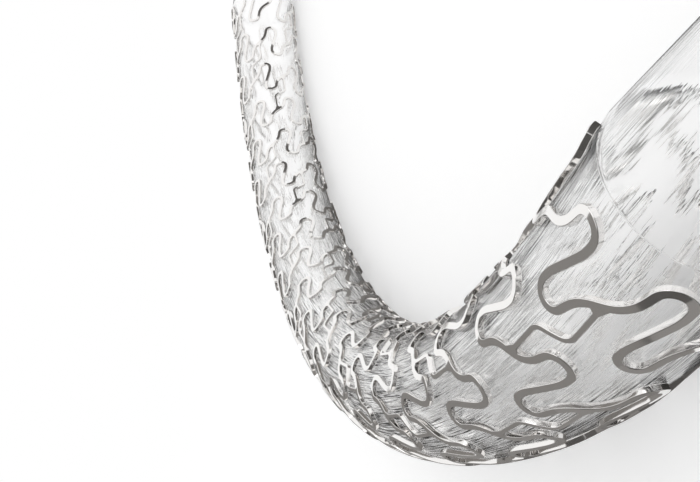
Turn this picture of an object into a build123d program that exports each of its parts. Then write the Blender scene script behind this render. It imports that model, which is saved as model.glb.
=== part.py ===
from build123d import *
import os
from functools import cache
from math import asin, atan2, cos, degrees, hypot, pi, radians, sin

# A balloon-expandable coronary stent, opened on its balloon and bent round an arc.
# Sizes are in millimetres and degrees. It lies on its side, and the arc is level.

# Stent tube
stent_diameter = 3.0
wall = 0.1
strut_width = 0.13
bend_radius = 25.0

# Rings: each is a band of crowns, turned a little from the ring before it
ring_count = 19
ring_pitch = 2.27
ring_twist = 18.4
ring_length = 1.68
crown_count = 7
crown_radius = 0.225
crown_lead = 1.18
crown_exit_angle = 12.0
slant_angle = 50.0
slant_reach = 0.32
first_crown_angle = 27.9

# Links: each leaves a slanted strut of one ring and seats on the same strut of the next
links_per_gap = 3
linked_side_angle = 115.0
link_width = 0.085
link_run = 0.95

# Facets: steps round a crown's two edges, and places along a ring's band, where each crown's
# cell has a rear crown, a slanted strut, a front crown and a plain strut, one place long each
outer_steps = 3
inner_steps = 2
cell_places = 4
slanted_place = 1.5
slant_spread = 0.3
seat_spread = 0.1
front_crown_place = 2

# Balloon that holds the stent open
seat_gap = 0.025
balloon_overhang = 0.27
cone_length = 5.2
neck_radius = 0.45
neck_length = 1.5

stent_radius = stent_diameter / 2
crown_step = 2 * pi * stent_radius / crown_count
twist_step = radians(ring_twist) * stent_radius
crown_centre = ring_length / 2 - crown_radius
balloon_radius = stent_radius - wall - seat_gap

# A plain strut is the inner tangent of two neighbouring crowns, so it leans by this angle
crown_gap = hypot(2 * crown_centre, crown_step - crown_lead)
gap_slope = atan2(crown_step - crown_lead, 2 * crown_centre)
plain_lean = degrees(asin(2 * crown_radius / crown_gap) - gap_slope)
crown_sweep = 180 + plain_lean - crown_exit_angle

# Distances along the tube's axis start at the middle of the first ring
ring_reach = (ring_length + strut_width) / 2
balloon_start = -ring_reach - balloon_overhang
balloon_end = (ring_count - 1) * ring_pitch + ring_reach + balloon_overhang
half_bend = (balloon_end - balloon_start) / bend_radius / 2

# The arc's centre stands so that the whole part is centred on the origin
straight_end = cone_length + neck_length
lowest_y = bend_radius * cos(half_bend) - straight_end * sin(half_bend) - neck_radius * cos(half_bend)
arc_centre_y = -(bend_radius + stent_radius + lowest_y) / 2


def tube_plane(along):
    """Plane across the tube's axis: x points away from the arc's centre, z along the axis."""
    turn = pi / 2 + half_bend - (along - balloon_start) / bend_radius
    outward = Vector(cos(turn), sin(turn), 0)
    centre = Vector(0, arc_centre_y, stent_radius) + outward * bend_radius
    return Plane(origin=centre, x_dir=outward, z_dir=Vector(sin(turn), -cos(turn), 0))


@cache
def on_tube(point, depth):
    """A point of the flat pattern, laid on the bent tube at a depth below its surface."""
    along, around = point
    angle = radians(first_crown_angle) + around / stent_radius
    radius = stent_radius - depth
    return tube_plane(along).from_local_coords(Vector(radius * cos(angle), radius * sin(angle), 0))


def crown_edges(centre, first_angle, sweep, place):
    """Outer and inner edge of one crown, as points with their place in the band."""
    edges = []
    for offset, steps in ((strut_width / 2, outer_steps), (-strut_width / 2, inner_steps)):
        radius = crown_radius + offset
        edge = []
        for step in range(steps + 1):
            angle = radians(first_angle + sweep * step / steps)
            point = (centre[0] + radius * cos(angle), centre[1] + radius * sin(angle))
            edge.append((place + step / steps, point))
        edges.append(edge)
    return edges


def link_crowns(gap):
    """Crowns whose slanted struts the links of one gap join. The bare strut stays on the far side."""
    if gap < 0 or gap >= ring_count - 1:
        return []
    seat_angle = radians(linked_side_angle - first_crown_angle)
    middle = (seat_angle * stent_radius - crown_lead / 2 - gap * twist_step) / crown_step
    parity = gap % 2
    first = parity + 2 * round((middle - links_per_gap + 1 - parity) / 2)
    return [(first + 2 * link) % crown_count for link in range(links_per_gap)]


def slant_points(ring, crown, side, reach):
    """Two points on one edge of a slanted strut, at a reach either side of its middle; side 1 is the rear."""
    slope = radians(slant_angle)
    along = ring * ring_pitch - side * strut_width / 2 * sin(slope)
    around = ring * twist_step + crown * crown_step + crown_lead / 2 + side * strut_width / 2 * cos(slope)
    return [(along + end * reach * cos(slope), around + end * reach * sin(slope)) for end in (-1, 1)]


def link_seat(ring, crown, side):
    """Two points where a link's edges meet one edge of a slanted strut."""
    return slant_points(ring, crown, side, link_width / 2 / sin(radians(slant_angle)))


def ring_edges(ring):
    """Rear and front edge of a ring's band, all the way round."""
    rear = []
    front = []
    along = ring * ring_pitch
    for crown in range(crown_count):
        around = ring * twist_step + crown * crown_step
        place = cell_places * crown
        rear_centre = (along - crown_centre, around)
        outer, inner = crown_edges(rear_centre, 270 + plain_lean, -crown_sweep, place)
        rear += outer
        front += inner
        middle = place + slanted_place
        for edge, side, gap in ((rear, 1, ring - 1), (front, -1, ring)):
            lower_bend, upper_bend = slant_points(ring, crown, side, slant_reach)
            edge.append((middle - slant_spread, lower_bend))
            if crown in link_crowns(gap):
                first, second = link_seat(ring, crown, side)
                edge += [(middle - seat_spread, first), (middle + seat_spread, second)]
            edge.append((middle + slant_spread, upper_bend))
        front_centre = (along + crown_centre, around + crown_lead)
        place += front_crown_place
        outer, inner = crown_edges(front_centre, crown_exit_angle - 90, crown_sweep, place)
        rear += inner
        front += outer
    return rear, front


def link_edges(ring, crown):
    """Both edges of the link from a ring's crown to the same crown of the next ring."""
    along = ring * ring_pitch
    around = ring * twist_step + crown * crown_step + crown_lead / 2
    near = (along + link_run, around)
    far = (along + ring_pitch - link_run, around + twist_step)
    lean = atan2(far[1] - near[1], far[0] - near[0]) / 2
    start = link_seat(ring, crown, -1)
    end = link_seat(ring + 1, crown, 1)
    edges = []
    for side, offset in ((0, -link_width / 2), (1, link_width / 2)):
        mitre = offset / cos(lean)
        bends = [(x - mitre * sin(lean), y + mitre * cos(lean)) for x, y in (near, far)]
        edges.append([start[side]] + bends + [end[side]])
    return edges


def facet(*points):
    """A flat three-cornered face."""
    return Face(Wire.make_polygon(points, close=True))


def skin(rear, front, depth, closed):
    """Facets between two edges of a band, at one depth; they advance together along the band."""
    faces = []
    i = 0
    j = 0
    rear_count = len(rear) if closed else len(rear) - 1
    front_count = len(front) if closed else len(front) - 1
    lap = cell_places * crown_count
    while i < rear_count or j < front_count:
        next_rear = rear[(i + 1) % len(rear)][0] + lap * ((i + 1) // len(rear))
        next_front = front[(j + 1) % len(front)][0] + lap * ((j + 1) // len(front))
        a = on_tube(rear[i % len(rear)][1], depth)
        b = on_tube(front[j % len(front)][1], depth)
        if j == front_count or (i < rear_count and next_rear <= next_front):
            i += 1
            faces.append(facet(a, b, on_tube(rear[i % len(rear)][1], depth)))
        else:
            j += 1
            faces.append(facet(a, b, on_tube(front[j % len(front)][1], depth)))
    return faces


def edge_wall(points, skipped):
    """The cut edge of the tube's wall, through its thickness; a pair in skipped is left open."""
    faces = []
    for first, second in zip(points, points[1:]):
        if (first, second) in skipped:
            continue
        top = [on_tube(point, 0) for point in (first, second)]
        bottom = [on_tube(point, wall) for point in (first, second)]
        faces.append(facet(top[0], top[1], bottom[1]))
        faces.append(facet(top[0], bottom[1], bottom[0]))
    return faces


# Each ring is a closed band, open only where a link is joined to it
facets = []
for ring in range(ring_count):
    rear, front = ring_edges(ring)
    seats = [tuple(link_seat(ring, crown, -1)) for crown in link_crowns(ring)]
    seats += [tuple(link_seat(ring, crown, 1)) for crown in link_crowns(ring - 1)]
    for depth in (0, wall):
        facets += skin(rear, front, depth, closed=True)
    for edge in (rear, front):
        points = [point for place, point in edge]
        facets += edge_wall(points + points[:1], seats)
    for crown in link_crowns(ring):
        lower, upper = link_edges(ring, crown)
        for depth in (0, wall):
            facets += skin(list(enumerate(upper)), list(enumerate(lower)), depth, closed=False)
        facets += edge_wall(lower, [])
        facets += edge_wall(upper, [])

with BuildPart() as stent:
    add(Solid(Shell(facets)))

with BuildPart() as balloon:
    with BuildLine():
        start_angle = 90 + degrees(half_bend)
        CenterArc((0, arc_centre_y, stent_radius), bend_radius, start_angle, -2 * degrees(half_bend))
    with BuildSketch(tube_plane(balloon_start)):
        Circle(balloon_radius)
    sweep()
    for plane, outward in ((tube_plane(balloon_start), -1), (tube_plane(balloon_end), 1)):
        shoulder = Plane(origin=plane.origin, x_dir=plane.x_dir, z_dir=plane.z_dir * outward)
        upright = (Align.CENTER, Align.CENTER, Align.MIN)
        with Locations(shoulder):
            Cone(balloon_radius, neck_radius, cone_length, align=upright)
        with Locations(shoulder.offset(cone_length)):
            Cylinder(neck_radius, neck_length, align=upright)

os.makedirs("parts", exist_ok=True)
for name, piece in (("stent", stent), ("balloon", balloon)):
    piece.part.label = name
    export_step(piece.part, "parts/" + name + ".step")
print("facets", len(facets), "volumes", stent.part.volume, balloon.part.volume)
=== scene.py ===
from math import atan2, cos, hypot, pi, radians, sin

import bmesh
import bpy
from mathutils import Matrix, Vector


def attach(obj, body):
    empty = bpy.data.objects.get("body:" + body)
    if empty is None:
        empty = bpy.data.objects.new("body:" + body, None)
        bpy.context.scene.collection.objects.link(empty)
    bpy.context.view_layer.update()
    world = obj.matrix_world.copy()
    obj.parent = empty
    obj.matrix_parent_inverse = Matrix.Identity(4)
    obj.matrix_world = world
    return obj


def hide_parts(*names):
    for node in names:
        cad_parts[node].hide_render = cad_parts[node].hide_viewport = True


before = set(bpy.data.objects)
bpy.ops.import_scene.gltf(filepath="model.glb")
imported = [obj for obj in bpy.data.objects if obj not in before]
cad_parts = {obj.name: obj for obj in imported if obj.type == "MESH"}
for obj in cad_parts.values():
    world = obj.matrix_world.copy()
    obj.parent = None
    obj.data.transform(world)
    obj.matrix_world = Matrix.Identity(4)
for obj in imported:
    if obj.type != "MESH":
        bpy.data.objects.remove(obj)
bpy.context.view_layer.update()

mm = 0.001
print("frame loaded:", ", ".join(sorted(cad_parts)))

# Lengths are in millimetres and angles in degrees, as in the part's own source.
# The flat pattern has x along the tube and y round it; laySheet wraps it onto the bent tube.
tube = {
    "radius": 1.5,
    "bendRadius": 25.0,
    "firstCrownAngle": 27.9,
    "ringCount": 19,
    "ringPitch": 2.27,
    "ringTwist": 18.4,
    "ringLength": 1.68,
    "crownsPerRing": 7,
    "strutWidth": 0.13,
    "balloonOverhang": 0.27,
    "coneLength": 5.2,
    "neckLength": 1.5,
    "neckRadius": 0.45,
}

twistStep = radians(tube["ringTwist"]) * tube["radius"]
crownStep = 2 * pi * tube["radius"] / tube["crownsPerRing"]
ringReach = (tube["ringLength"] + tube["strutWidth"]) / 2
tubeStart = -ringReach - tube["balloonOverhang"]
tubeEnd = (tube["ringCount"] - 1) * tube["ringPitch"] + ringReach + tube["balloonOverhang"]
halfBend = (tubeEnd - tubeStart) / tube["bendRadius"] / 2
endLength = tube["coneLength"] + tube["neckLength"]
lowestY = (tube["bendRadius"] - tube["neckRadius"]) * cos(halfBend) - endLength * sin(halfBend)
arcCentre = Vector((0, -(tube["bendRadius"] + tube["radius"] + lowestY) / 2, tube["radius"]))


def bendPoint(across, up, along):
    middle = min(max(along, tubeStart), tubeEnd)
    turn = pi / 2 + halfBend - (middle - tubeStart) / tube["bendRadius"]
    outward = Vector((cos(turn), sin(turn), 0))
    onward = Vector((sin(turn), -cos(turn), 0)) * (along - middle)
    return (arcCentre + outward * (tube["bendRadius"] + across) + Vector((0, 0, up)) + onward) * mm


def laySheet(bm):
    for vert in bm.verts:
        along, around, height = vert.co
        angle = radians(tube["firstCrownAngle"]) + around / tube["radius"]
        reach = tube["radius"] + height
        vert.co = bendPoint(reach * cos(angle), reach * sin(angle), along)


lattice = {
    "wall": 0.1,
    "edgeRound": 0.012,
    "edgeRoundAngle": 50.0,
    "weldGap": 0.004,
    "crownRadius": 0.225,
    "crownLead": 1.18,          # how far a front crown stands ahead of its rear crown, round the tube
    "exitAngle": 12.0,          # slope of a slanted strut where it leaves its crown
    "slantTurn": 40.0,          # how much steeper its middle is
    "slantRadius": 0.72,
    "plainTurn": 17.5,
    "plainRadius": 1.0,
    "crownSteps": 16,
    "slantSteps": 5,
    "plainSteps": 3,
    "endSteps": 2,
    "linksPerGap": 3,
    "linkedSideAngle": 115.0,   # middle of the side that carries the links
    "linkWidth": 0.085,
    "linkReach": 0.2,           # where a link has its full narrow width, from the middle of its strut
    "linkTurn": 56.0,
    "linkRadius": 0.27,
    "linkSteps": 6,
}

crownCentre = tube["ringLength"] / 2 - lattice["crownRadius"]


# The stent is drawn flat as one strip of faces, carried on by its end edges
def startStrip(bm, place, heading, width):
    side = Vector((-sin(heading), cos(heading), 0)) * width / 2
    ends = [bm.verts.new(place - side), bm.verts.new(place + side)]
    return {"edges": [bm.edges.new(ends)], "place": place, "heading": heading}


def endVerts(strip):
    return list({vert for edge in strip["edges"] for vert in edge.verts})


def spinOn(bm, strip, centre, turn, advance, steps):
    swept = bmesh.ops.spin(
        bm, geom=strip["edges"] + endVerts(strip), cent=centre, axis=(0, 0, 1), dvec=advance,
        angle=turn, steps=steps, use_merge=False, use_normal_flip=False, use_duplicate=False)
    strip["edges"] = [part for part in swept["geom_last"] if isinstance(part, bmesh.types.BMEdge)]
    strip["place"] = Matrix.Rotation(turn, 3, "Z") @ (strip["place"] - centre) + centre + advance * steps
    strip["heading"] += turn


def bendOn(bm, strip, radius, turn, steps):
    left = Vector((-sin(strip["heading"]), cos(strip["heading"]), 0))
    centre = strip["place"] + left * (radius if turn > 0 else -radius)
    spinOn(bm, strip, centre, turn, Vector(), steps)


def runOn(bm, strip, length, steps):
    advance = Vector((cos(strip["heading"]), sin(strip["heading"]), 0)) * length / steps
    spinOn(bm, strip, strip["place"].copy(), 0, advance, steps)


def bendAcross(bm, strip, goal, turn, radius, steps):
    # a straight, a bend, a straight, the bend back and a straight; gives the strip's edge halfway
    across = Matrix.Rotation(-strip["heading"], 3, "Z") @ (goal - strip["place"])
    middle = (across.y - 2 * radius * (1 - cos(turn))) / sin(turn)
    end = (across.x - 2 * radius * sin(turn) - middle * cos(turn)) / 2
    runOn(bm, strip, end, lattice["endSteps"])
    bendOn(bm, strip, radius, turn, steps)
    runOn(bm, strip, middle / 2, 1)
    halfway = strip["edges"][0]
    runOn(bm, strip, middle / 2, 1)
    bendOn(bm, strip, radius, -turn, steps)
    runOn(bm, strip, end, lattice["endSteps"])
    return halfway


def drawRing(bm):
    # one ring round the middle of the flat sheet; gives the middle of each slanted strut
    radius = lattice["crownRadius"]
    exitAngle = radians(lattice["exitAngle"])
    strip = startStrip(bm, Vector((-crownCentre, -radius, 0)), pi, tube["strutWidth"])
    exitPoint = Vector((-sin(exitAngle), cos(exitAngle), 0)) * radius
    middles = []
    for crown in range(tube["crownsPerRing"]):
        frontCentre = Vector((crownCentre, crown * crownStep + lattice["crownLead"], 0))
        nextRear = Vector((-crownCentre, (crown + 1) * crownStep, 0))
        bendOn(bm, strip, radius, exitAngle - pi, lattice["crownSteps"])
        halfway = bendAcross(bm, strip, frontCentre - exitPoint, radians(lattice["slantTurn"]),
                             lattice["slantRadius"], lattice["slantSteps"])
        bendOn(bm, strip, radius, pi - exitAngle, lattice["crownSteps"])
        bendAcross(bm, strip, nextRear - Vector((0, radius, 0)), radians(lattice["plainTurn"]),
                   lattice["plainRadius"], lattice["plainSteps"])
        strip["heading"] = pi
        middles.append(halfway)
    return middles


def copyRing(bm, geometry, middles, ring):
    copied = bmesh.ops.duplicate(bm, geom=geometry)
    verts = [part for part in copied["geom"] if isinstance(part, bmesh.types.BMVert)]
    bmesh.ops.translate(bm, verts=verts, vec=(ring * tube["ringPitch"], ring * twistStep, 0))
    return [copied["edge_map"][middle] for middle in middles]


def linkCrowns(gap):
    seatAngle = radians(lattice["linkedSideAngle"] - tube["firstCrownAngle"])
    middle = (seatAngle * tube["radius"] - lattice["crownLead"] / 2 - gap * twistStep) / crownStep
    parity = gap % 2
    first = parity + 2 * round((middle - lattice["linksPerGap"] + 1 - parity) / 2)
    return [(first + 2 * link) % tube["crownsPerRing"] for link in range(lattice["linksPerGap"])]


def seatEdges(middle, side):
    # edges of a slanted strut that a link grows from, on its front (1) or rear (-1);
    # one more on the side of the sharper corner fills that corner
    vert = max(middle.verts, key=lambda vert: vert.co.x * side)
    edges = [edge for edge in vert.link_edges if edge.is_boundary]
    onward = max(edges, key=lambda edge: edge.other_vert(vert).co.x * side)
    corner = onward.other_vert(vert)
    return edges + [edge for edge in corner.link_edges if edge.is_boundary and edge is not onward]


def drawLink(bm, nearMiddle, farMiddle):
    near, far = [(edge.verts[0].co + edge.verts[1].co) / 2 for edge in (nearMiddle, farMiddle)]
    strut = nearMiddle.verts[1].co - nearMiddle.verts[0].co
    slope = atan2(abs(strut.x), abs(strut.y))
    seat = seatEdges(nearMiddle, 1)
    grown = bmesh.ops.extrude_edge_only(bm, edges=seat)["geom"]
    verts = [part for part in grown if isinstance(part, bmesh.types.BMVert)]
    edges = [part for part in grown
             if isinstance(part, bmesh.types.BMEdge) and set(part.verts) <= set(verts)]
    lowest = min(verts, key=lambda vert: vert.co.y)
    highest = max(verts, key=lambda vert: vert.co.y)
    centre = (lowest.co + highest.co) / 2
    shrink = Matrix.Scale(lattice["linkWidth"] / (highest.co - lowest.co).length, 4)
    start = near + Vector((lattice["linkReach"], 0, 0))
    bmesh.ops.rotate(bm, verts=verts, cent=centre, matrix=Matrix.Rotation(pi / 2 - slope, 3, "Z"))
    bmesh.ops.transform(bm, verts=verts, matrix=shrink, space=Matrix.Translation(-centre))
    bmesh.ops.translate(bm, verts=verts, vec=start - centre)
    strip = {"edges": edges, "place": start, "heading": 0.0}
    bendAcross(bm, strip, far - Vector((lattice["linkReach"], 0, 0)), radians(lattice["linkTurn"]),
               lattice["linkRadius"], lattice["linkSteps"])
    bmesh.ops.bridge_loops(bm, edges=strip["edges"] + seatEdges(farMiddle, -1))


def finishPiece(bm, name, replacedNode):
    mesh = bpy.data.meshes.new(name)
    bm.to_mesh(mesh)
    bm.free()
    mesh.polygons.foreach_set("use_smooth", [True] * len(mesh.polygons))
    piece = bpy.data.objects.new(name, mesh)
    bpy.context.scene.collection.objects.link(piece)
    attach(piece, "root")
    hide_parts(replacedNode)
    return piece


def makeStent():
    bm = bmesh.new()
    middles = [drawRing(bm)]
    firstRing = [*bm.verts, *bm.edges, *bm.faces]
    for ring in range(1, tube["ringCount"]):
        middles.append(copyRing(bm, firstRing, middles[0], ring))
    for gap in range(tube["ringCount"] - 1):
        for crown in linkCrowns(gap):
            drawLink(bm, middles[gap][crown], middles[gap + 1][crown])
    for face in bm.faces:
        face.normal_update()
    bmesh.ops.reverse_faces(bm, faces=[face for face in bm.faces if face.normal.z > 0])
    laySheet(bm)
    bmesh.ops.remove_doubles(bm, verts=bm.verts, dist=lattice["weldGap"] * mm)
    piece = finishPiece(bm, "stentLattice", "stent")
    wallMod = piece.modifiers.new("wall", "SOLIDIFY")
    wallMod.thickness = lattice["wall"] * mm
    wallMod.offset = -1
    edgeMod = piece.modifiers.new("polishedEdges", "BEVEL")
    edgeMod.width = lattice["edgeRound"] * mm
    edgeMod.segments = 1
    edgeMod.limit_method = "ANGLE"
    edgeMod.angle_limit = radians(lattice["edgeRoundAngle"])
    edgeMod.harden_normals = True
    print("stent:", len(piece.data.polygons), "faces in the flat sheet")
    return piece


balloon = {
    "radius": 1.375,
    "film": 0.02,
    "shoulderWidth": 0.03,
    "shoulderDepth": 0.012,
    "sides": 96,
    "bendSteps": 160,
    "coneSteps": 16,
    "neckSteps": 4,
    "axisProbe": 0.01,      # how far to each side a point's tube direction is taken
}


def pushRim(bm, rim, advance, radius, steps=1):
    for step in range(steps):
        grown = bmesh.ops.extrude_edge_only(bm, edges=rim["edges"])["geom"]
        verts = [part for part in grown if isinstance(part, bmesh.types.BMVert)]
        rim["edges"] = [part for part in grown
                        if isinstance(part, bmesh.types.BMEdge) and set(part.verts) <= set(verts)]
        nextRadius = rim["radius"] + (radius - rim["radius"]) / (steps - step)
        ratio = nextRadius / rim["radius"]
        bmesh.ops.scale(bm, verts=verts, vec=(ratio, ratio, 1))
        bmesh.ops.translate(bm, verts=verts, vec=(0, 0, advance / steps))
        rim["radius"] = nextRadius


def makeBalloon():
    bm = bmesh.new()
    verts = bmesh.ops.create_circle(
        bm, segments=balloon["sides"], radius=tube["neckRadius"])["verts"]
    bmesh.ops.translate(bm, verts=verts, vec=(0, 0, tubeStart - endLength))
    rim = {"edges": list(bm.edges), "radius": tube["neckRadius"]}
    shoulder = balloon["shoulderWidth"] / 2
    groove = balloon["radius"] - balloon["shoulderDepth"]
    bmesh.ops.edgeloop_fill(bm, edges=rim["edges"])
    pushRim(bm, rim, tube["neckLength"], tube["neckRadius"], balloon["neckSteps"])
    pushRim(bm, rim, tube["coneLength"] - shoulder, balloon["radius"], balloon["coneSteps"])
    pushRim(bm, rim, shoulder, groove)
    pushRim(bm, rim, shoulder, balloon["radius"])
    pushRim(bm, rim, tubeEnd - tubeStart - 2 * shoulder, balloon["radius"], balloon["bendSteps"])
    pushRim(bm, rim, shoulder, groove)
    pushRim(bm, rim, shoulder, balloon["radius"])
    pushRim(bm, rim, tube["coneLength"] - shoulder, tube["neckRadius"], balloon["coneSteps"])
    pushRim(bm, rim, tube["neckLength"], tube["neckRadius"], balloon["neckSteps"])
    bmesh.ops.edgeloop_fill(bm, edges=rim["edges"])
    # flow: along and round the film, as if all of it were a straight tube; axis: which way it runs
    flow = bm.verts.layers.float_vector.new("flow")
    axis = bm.verts.layers.float_vector.new("axis")
    for vert in bm.verts:
        x, y, along = vert.co
        widen = balloon["radius"] / hypot(x, y)
        vert[flow] = Vector((x * widen, y * widen, along)) * mm
        ahead, behind = [bendPoint(x, y, along + side * balloon["axisProbe"]) for side in (1, -1)]
        vert[axis] = (ahead - behind).normalized()
        vert.co = bendPoint(x, y, along)
    bmesh.ops.recalc_face_normals(bm, faces=bm.faces)
    piece = finishPiece(bm, "inflatedBalloon", "balloon")
    filmMod = piece.modifiers.new("film", "SOLIDIFY")
    filmMod.thickness = balloon["film"] * mm
    filmMod.offset = -1
    print("balloon:", len(piece.data.polygons), "faces")
    return piece


def newMaterial(name):
    material = bpy.data.materials.new(name)
    material.use_nodes = True
    nodes, wires = material.node_tree.nodes, material.node_tree.links
    return material, nodes, wires, nodes["Principled BSDF"]


grainFinish = {
    "detail": 4,
    "height": 0.002,
}


def grainGroup():
    # fine grain: a mask for the finish and the normal that goes with it
    group = bpy.data.node_groups.new("fineGrain", "ShaderNodeTree")
    for name, kind in (("Vector", "NodeSocketVector"), ("Scale", "NodeSocketFloat"),
                       ("Depth", "NodeSocketFloat")):
        group.interface.new_socket(name, in_out="INPUT", socket_type=kind)
    group.interface.new_socket("Mask", in_out="OUTPUT", socket_type="NodeSocketFloat")
    group.interface.new_socket("Normal", in_out="OUTPUT", socket_type="NodeSocketVector")
    nodes, wires = group.nodes, group.links
    source, result = nodes.new("NodeGroupInput"), nodes.new("NodeGroupOutput")
    noise, bump = nodes.new("ShaderNodeTexNoise"), nodes.new("ShaderNodeBump")
    noise.inputs["Detail"].default_value = grainFinish["detail"]
    bump.inputs["Distance"].default_value = grainFinish["height"] * mm
    wires.new(source.outputs["Vector"], noise.inputs["Vector"])
    wires.new(source.outputs["Scale"], noise.inputs["Scale"])
    wires.new(source.outputs["Depth"], bump.inputs["Strength"])
    wires.new(noise.outputs["Fac"], bump.inputs["Height"])
    wires.new(noise.outputs["Fac"], result.inputs["Mask"])
    wires.new(bump.outputs["Normal"], result.inputs["Normal"])
    return group


fineGrain = grainGroup()

metalFinish = {
    "color": (0.9, 0.885, 0.87, 1),
    "roughness": (0.04, 0.12),
    "grainScale": 9000.0,
    "grainDepth": 0.05,
}


def strutMetal():
    material, nodes, wires, shader = newMaterial("polishedStrut")
    coords, grain, spread = [nodes.new(kind) for kind in (
        "ShaderNodeTexCoord", "ShaderNodeGroup", "ShaderNodeMapRange")]
    grain.node_tree = fineGrain
    grain.inputs["Scale"].default_value = metalFinish["grainScale"]
    grain.inputs["Depth"].default_value = metalFinish["grainDepth"]
    spread.inputs["To Min"].default_value, spread.inputs["To Max"].default_value = metalFinish["roughness"]
    wires.new(coords.outputs["Object"], grain.inputs["Vector"])
    wires.new(grain.outputs["Mask"], spread.inputs["Value"])
    wires.new(spread.outputs["Result"], shader.inputs["Roughness"])
    wires.new(grain.outputs["Normal"], shader.inputs["Normal"])
    shader.inputs["Base Color"].default_value = metalFinish["color"]
    shader.inputs["Metallic"].default_value = 1
    return material


filmFinish = {
    "color": (1, 1, 1, 1),
    "roughness": 0.05,
    # painted shade: the film's base colour turns grey where the film is seen at a slant
    "slantShadeColor": (0.85, 0.85, 0.85, 1),
    "slantShadeStart": 0.6,
    "transmission": 1.0,
    "ior": 1.4,
    "streakScale": 50000.0,
    "streakStretch": 0.02,
    "streakTilt": 0.12,
    "streakRange": (0.3, 0.7),      # the part of the noise that the tilt is spread over
    "grainScale": 30000.0,
    "grainDepth": 0.08,
}


def balloonFilm():
    # fine streaks run along the film, and each tips the light a little along the tube
    material, nodes, wires, shader = newMaterial("balloonFilm")
    flow, axis = nodes.new("ShaderNodeAttribute"), nodes.new("ShaderNodeAttribute")
    stretch, grain, streak, tilt = [nodes.new(kind) for kind in (
        "ShaderNodeMapping", "ShaderNodeGroup", "ShaderNodeTexNoise", "ShaderNodeMapRange")]
    lean, tip, unit = [nodes.new("ShaderNodeVectorMath") for _ in range(3)]
    flow.attribute_name, axis.attribute_name = "flow", "axis"
    stretch.inputs["Scale"].default_value = (1, 1, filmFinish["streakStretch"])
    streak.inputs["Scale"].default_value = filmFinish["streakScale"]
    grain.node_tree = fineGrain
    grain.inputs["Scale"].default_value = filmFinish["grainScale"]
    grain.inputs["Depth"].default_value = filmFinish["grainDepth"]
    tilt.inputs["From Min"].default_value, tilt.inputs["From Max"].default_value = filmFinish["streakRange"]
    tilt.inputs["To Min"].default_value = -filmFinish["streakTilt"]
    tilt.inputs["To Max"].default_value = filmFinish["streakTilt"]
    lean.operation, tip.operation, unit.operation = "SCALE", "ADD", "NORMALIZE"
    # only where light meets the film from outside, or the two faces would cancel out
    side, outside, outer = [nodes.new(kind) for kind in (
        "ShaderNodeNewGeometry", "ShaderNodeMath", "ShaderNodeMath")]
    outside.operation, outer.operation = "SUBTRACT", "MULTIPLY"
    outside.inputs[0].default_value = 1
    wires.new(side.outputs["Backfacing"], outside.inputs[1])
    wires.new(outside.outputs[0], outer.inputs[0])
    wires.new(tilt.outputs["Result"], outer.inputs[1])
    wires.new(flow.outputs["Vector"], stretch.inputs["Vector"])
    wires.new(flow.outputs["Vector"], grain.inputs["Vector"])
    wires.new(stretch.outputs["Vector"], streak.inputs["Vector"])
    wires.new(streak.outputs["Fac"], tilt.inputs["Value"])
    wires.new(axis.outputs["Vector"], lean.inputs[0])
    wires.new(outer.outputs[0], lean.inputs["Scale"])
    wires.new(grain.outputs["Normal"], tip.inputs[0])
    wires.new(lean.outputs["Vector"], tip.inputs[1])
    wires.new(tip.outputs["Vector"], unit.inputs[0])
    wires.new(unit.outputs["Vector"], shader.inputs["Normal"])
    shader.inputs["Roughness"].default_value = filmFinish["roughness"]
    shader.inputs["Transmission Weight"].default_value = filmFinish["transmission"]
    shader.inputs["IOR"].default_value = filmFinish["ior"]
    # painted shade: the base colour darkens from white to grey as the film turns away from the view
    facing, shade = nodes.new("ShaderNodeLayerWeight"), nodes.new("ShaderNodeValToRGB")
    wires.new(facing.outputs["Facing"], shade.inputs["Fac"])
    wires.new(shade.outputs["Color"], shader.inputs["Base Color"])
    clear, edge = shade.color_ramp.elements
    clear.color, edge.color = filmFinish["color"], filmFinish["slantShadeColor"]
    clear.position, edge.position = filmFinish["slantShadeStart"], 1.0
    return material


studio = {
    "floorSize": 1.2,
    "floorColor": (0.8, 0.8, 0.8, 1),
    "floorLift": 0.36,
    "roomLight": 0.8,
    "boxPlace": (-0.02, -0.06, 0.06),
    "boxSize": 0.05,
    "boxPower": 0.006,
}

# Cards that the camera doesn't see give the metal something darker to reflect
cardTint = Vector((1, 0.96, 0.92))
cards = {
    "greyCard": {
        "place": (0.01, 0.05, 0.045), "faces": (0, -1, 0), "size": (0.17, 0.1), "shade": 0.3},
    "dimCard": {
        "place": (-0.045, 0.03, 0.045), "faces": (0.5, -1, 0), "size": (0.07, 0.1), "shade": 0.12},
    "backCard": {
        "place": (-0.055, -0.01, 0.03), "faces": (1, 0, 0), "size": (0.08, 0.1), "shade": 0.1,
        "throughFilm": True},
    "lowGreyCard": {
        "place": (0.0, 0.026, 0.0002), "faces": (0, 0, 1), "size": (0.08, 0.048), "shade": 0.3},
    "lowBackCard": {
        "place": (-0.033, -0.014, 0.0002), "faces": (0, 0, 1), "size": (0.04, 0.03), "shade": 0.08},
    "bandCard": {
        "place": (0.018, -0.016, 0.0035), "faces": (0, 1, 0), "size": (0.024, 0.007), "shade": 0.17},
    "lowBandCard": {
        "place": (0.018, -0.0125, 0.0002), "faces": (0, 0, 1), "size": (0.024, 0.007), "shade": 0.17},
}

view = {
    "place": (-0.028653, -0.004609, 0.007937),
    "target": (-0.00992, 0.000847, 0.003542),
    "roll": -91.272,
    "lens": 50.57,
    "nearest": 0.0005,
    "farthest": 10,
}


def seenDirectly(nodes, wires):
    # 1 for rays from the camera, off gloss and through the film
    path, first, second = [nodes.new(kind) for kind in (
        "ShaderNodeLightPath", "ShaderNodeMath", "ShaderNodeMath")]
    first.operation = second.operation = "MAXIMUM"
    wires.new(path.outputs["Is Camera Ray"], first.inputs[0])
    wires.new(path.outputs["Is Glossy Ray"], first.inputs[1])
    wires.new(first.outputs[0], second.inputs[0])
    wires.new(path.outputs["Is Transmission Ray"], second.inputs[1])
    return second.outputs[0]


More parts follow.
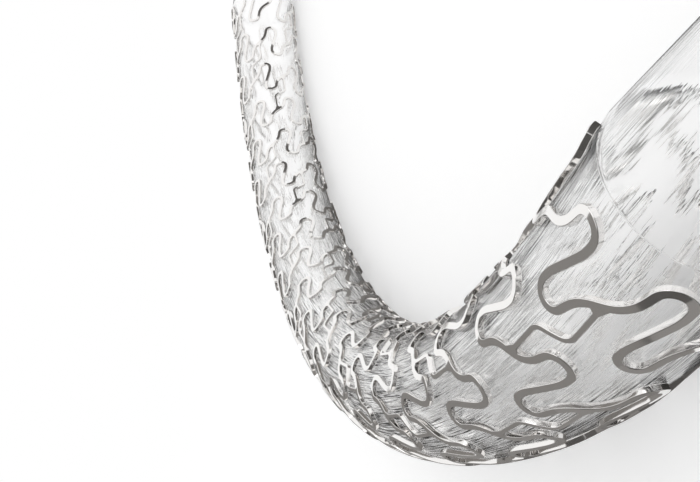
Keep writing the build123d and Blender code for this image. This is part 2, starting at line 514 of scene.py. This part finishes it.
def makeCamera():
    data = bpy.data.cameras.new("photoCamera")
    camera = bpy.data.objects.new("photoCamera", data)
    bpy.context.scene.collection.objects.link(camera)
    data.lens = view["lens"]
    data.clip_start, data.clip_end = view["nearest"], view["farthest"]
    forward = Vector(view["target"]) - Vector(view["place"])
    aim = forward.to_track_quat("-Z", "Y").to_matrix().to_4x4()
    roll = Matrix.Rotation(radians(view["roll"]), 4, "Z")
    camera.matrix_world = Matrix.Translation(view["place"]) @ aim @ roll
    bpy.context.scene.camera = camera
    return camera


def makeStudio():
    world = bpy.data.worlds.new("paleStudio")
    world.use_nodes = True
    nodes, wires = world.node_tree.nodes, world.node_tree.links
    strength = nodes.new("ShaderNodeMapRange")
    strength.inputs["To Min"].default_value = studio["roomLight"]
    strength.inputs["To Max"].default_value = 1
    wires.new(seenDirectly(nodes, wires), strength.inputs["Value"])
    nodes["Background"].inputs["Color"].default_value = (1, 1, 1, 1)
    wires.new(strength.outputs["Result"], nodes["Background"].inputs["Strength"])
    bpy.context.scene.world = world

    bpy.ops.mesh.primitive_plane_add(size=studio["floorSize"])
    floor = bpy.context.object
    floor.name = "floor"
    material = bpy.data.materials.new("paleFloor")
    material.use_nodes = True
    nodes, wires = material.node_tree.nodes, material.node_tree.links
    nodes.remove(nodes["Principled BSDF"])
    matte, glow, both = [nodes.new(kind) for kind in (
        "ShaderNodeBsdfDiffuse", "ShaderNodeEmission", "ShaderNodeAddShader")]
    lift = nodes.new("ShaderNodeMath")
    lift.operation = "MULTIPLY"
    lift.inputs[1].default_value = studio["floorLift"]
    matte.inputs["Color"].default_value = studio["floorColor"]
    wires.new(seenDirectly(nodes, wires), lift.inputs[0])
    wires.new(lift.outputs[0], glow.inputs["Strength"])
    wires.new(matte.outputs[0], both.inputs[0])
    wires.new(glow.outputs[0], both.inputs[1])
    wires.new(both.outputs[0], nodes["Material Output"].inputs["Surface"])
    floor.data.materials.append(material)

    boxData = bpy.data.lights.new("softBox", "AREA")
    boxData.size = studio["boxSize"]
    boxData.energy = studio["boxPower"]
    box = bpy.data.objects.new("softBox", boxData)
    box.location = studio["boxPlace"]
    bpy.context.scene.collection.objects.link(box)

    for name, card in cards.items():
        bpy.ops.mesh.primitive_plane_add(size=1)
        sheet = bpy.context.object
        sheet.name = name
        width, height = card["size"]
        for vert in sheet.data.vertices:
            vert.co = (vert.co.x * width, vert.co.y * height, 0)
        turn = Vector(card["faces"]).to_track_quat("Z", "Y").to_matrix().to_4x4()
        sheet.matrix_world = Matrix.Translation(card["place"]) @ turn
        matte, _, _, shader = newMaterial(name)
        shader.inputs["Base Color"].default_value = (*cardTint * card["shade"], 1)
        shader.inputs["Roughness"].default_value = 1
        sheet.data.materials.append(matte)
        sheet.visible_camera = sheet.visible_diffuse = sheet.visible_shadow = False
        sheet.visible_transmission = "throughFilm" in card


stentPiece = makeStent()
stentPiece.data.materials.append(strutMetal())
balloonPiece = makeBalloon()
balloonPiece.data.materials.append(balloonFilm())
print("finishes: strut metal and balloon film")
makeCamera()
makeStudio()
print("studio:", len(cards), "cards")

bpy.context.scene.view_settings.view_transform = "Standard"
